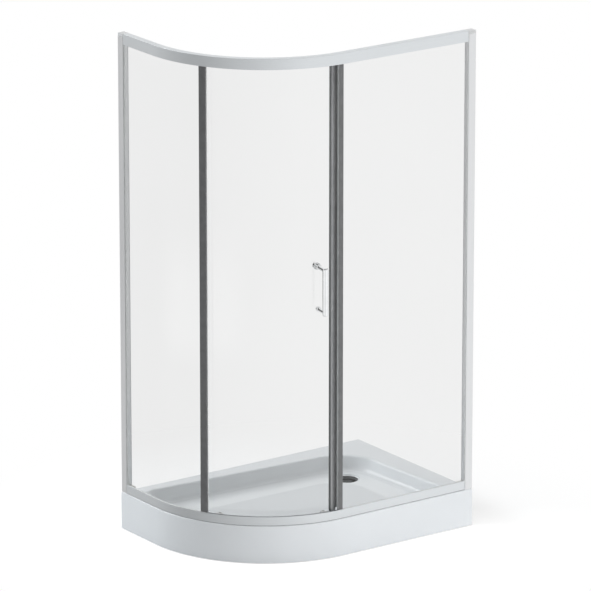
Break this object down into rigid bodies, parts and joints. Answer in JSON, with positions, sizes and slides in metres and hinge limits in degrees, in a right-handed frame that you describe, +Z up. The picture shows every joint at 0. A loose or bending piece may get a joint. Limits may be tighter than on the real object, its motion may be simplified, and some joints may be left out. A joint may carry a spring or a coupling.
{
  "type": "shower enclosure",
  "caption": "Corner shower enclosure on an asymmetric quadrant tray: curved framed glass with one sliding door and a bar handle.",
  "frame": {"origin": "centre of the tray's 1200 x 800 plan on the floor, on the sole of the middle foot", "axes": "+Z up, +X along the long wall to the back corner side, +Y towards the long wall"},
  "size_m": [1.2, 0.8254, 2.1],
  "materials": {
    "acrylic": "glossy white sanitary acrylic",
    "board": "raw chipboard",
    "zinc_steel": "zinc plated",
    "black_rubber": "matte",
    "satin_aluminium": "satin anodised, silver",
    "grey_plastic": "satin moulded",
    "grey_aluminium": "satin anodised, seen dark against the light",
    "clear_glass": "polished safety glass",
    "seal_clear": "translucent vinyl",
    "magnet_grey": "satin vinyl over a magnet",
    "white_plastic": "satin moulded",
    "steel_plate": "stainless",
    "nylon": "satin nylon",
    "chrome": "mirror chrome plating"
  },
  "bodies": {
    "root": {"tray_shell": "acrylic", "base_board": "board", "frame_tubes": "zinc_steel", "leg_studs": "zinc_steel", "leg_nuts": "zinc_steel", "leg_pads": "black_rubber", "frame_screws": "zinc_steel", "wall_hooks": "zinc_steel", "wall_profile_left": "satin_aluminium", "wall_profile_right": "satin_aluminium", "jamb_left": "satin_aluminium", "jamb_right": "satin_aluminium", "wall_profile_caps": "grey_plastic", "jamb_screws": "zinc_steel", "jamb_screw_caps": "grey_plastic", "bottom_rail": "satin_aluminium", "top_rail": "satin_aluminium", "rail_end_blocks": "white_plastic", "rail_end_screws": "zinc_steel", "fixed_glass_left": "clear_glass", "fixed_glass_right": "clear_glass", "setting_blocks": "white_plastic", "glazing_gasket_left": "seal_clear", "glazing_gasket_right": "seal_clear", "rail_gaskets": "seal_clear", "edge_profile_left": "grey_aluminium", "edge_seal_left": "seal_clear", "edge_profile_right": "grey_aluminium", "magnet_strip_fixed": "magnet_grey", "door_stops": "black_rubber"},
    "door": {"door_glass": "clear_glass", "door_edge_profile": "grey_aluminium", "magnet_strip_door": "magnet_grey", "door_rear_seal": "seal_clear", "top_hanger_left": "steel_plate", "top_hanger_right": "steel_plate", "hanger_axles": "zinc_steel", "hanger_bolts": "steel_plate", "hanger_washers": "seal_clear", "hanger_caps": "chrome", "carrier_housings": "white_plastic", "carrier_rings": "white_plastic", "handle_bar": "chrome", "handle_standoffs": "chrome", "handle_washers": "seal_clear", "handle_studs": "zinc_steel", "handle_knob": "chrome", "handle_cap": "chrome", "release_spring_left": "zinc_steel", "release_spring_right": "zinc_steel"},
    "top_wheel_1": {"top_wheel_1": "nylon"},
    "top_wheel_2": {"top_wheel_2": "nylon"},
    "top_wheel_3": {"top_wheel_3": "nylon"},
    "top_wheel_4": {"top_wheel_4": "nylon"},
    "release_left": {"release_slider_left": "steel_plate", "release_button_left": "white_plastic"},
    "bottom_wheel_left": {"bottom_wheel_left": "nylon"},
    "release_right": {"release_slider_right": "steel_plate", "release_button_right": "white_plastic"},
    "bottom_wheel_right": {"bottom_wheel_right": "nylon"}
  },
  "joints": [
    {"name": "door_slide", "type": "hinge", "parent": "root", "child": "door", "pos_m": [-0.05, 0.15, 1.13], "axis": [0, 0, -1], "range_deg": [0, 39]},
    {"name": "top_wheel_1_spin", "type": "hinge", "parent": "door", "child": "top_wheel_1", "pos_m": [-0.49717, -0.12849, 2.0693], "axis": [-0.8488, -0.5286, 0], "continuous": true},
    {"name": "top_wheel_2_spin", "type": "hinge", "parent": "door", "child": "top_wheel_2", "pos_m": [-0.48107, -0.15281, 2.0693], "axis": [-0.8183, -0.5748, 0], "continuous": true},
    {"name": "top_wheel_3_spin", "type": "hinge", "parent": "door", "child": "top_wheel_3", "pos_m": [-0.13773, -0.36944, 2.0693], "axis": [-0.1665, -0.986, 0], "continuous": true},
    {"name": "top_wheel_4_spin", "type": "hinge", "parent": "door", "child": "top_wheel_4", "pos_m": [-0.10885, -0.3735, 2.0693], "axis": [-0.1117, -0.9937, 0], "continuous": true},
    {"name": "release_left_lift", "type": "slide", "parent": "door", "child": "release_left", "axis": [0, 0, 1], "range_m": [0, 0.007], "stiffness_N_per_m": 300, "springref_m": -0.006, "deforming": ["release_spring_left"]},
    {"name": "bottom_wheel_left_spin", "type": "hinge", "parent": "release_left", "child": "bottom_wheel_left", "pos_m": [-0.48929, -0.14076, 0.1723], "axis": [-0.8339, -0.5519, 0], "continuous": true},
    {"name": "release_right_lift", "type": "slide", "parent": "door", "child": "release_right", "axis": [0, 0, 1], "range_m": [0, 0.007], "stiffness_N_per_m": 300, "springref_m": -0.006, "deforming": ["release_spring_right"]},
    {"name": "bottom_wheel_right_spin", "type": "hinge", "parent": "release_right", "child": "bottom_wheel_right", "pos_m": [-0.12332, -0.37167, 0.1723], "axis": [-0.1392, -0.9903, 0], "continuous": true}
  ],
  "couplings": [
    {"joint": "top_wheel_1_spin", "follows": "door_slide", "ratio": 47.891},
    {"joint": "top_wheel_2_spin", "follows": "door_slide", "ratio": 47.891},
    {"joint": "top_wheel_3_spin", "follows": "door_slide", "ratio": 47.891},
    {"joint": "top_wheel_4_spin", "follows": "door_slide", "ratio": 47.891},
    {"joint": "bottom_wheel_left_spin", "follows": "door_slide", "ratio": 52.68},
    {"joint": "bottom_wheel_right_spin", "follows": "door_slide", "ratio": 52.68}
  ]
}
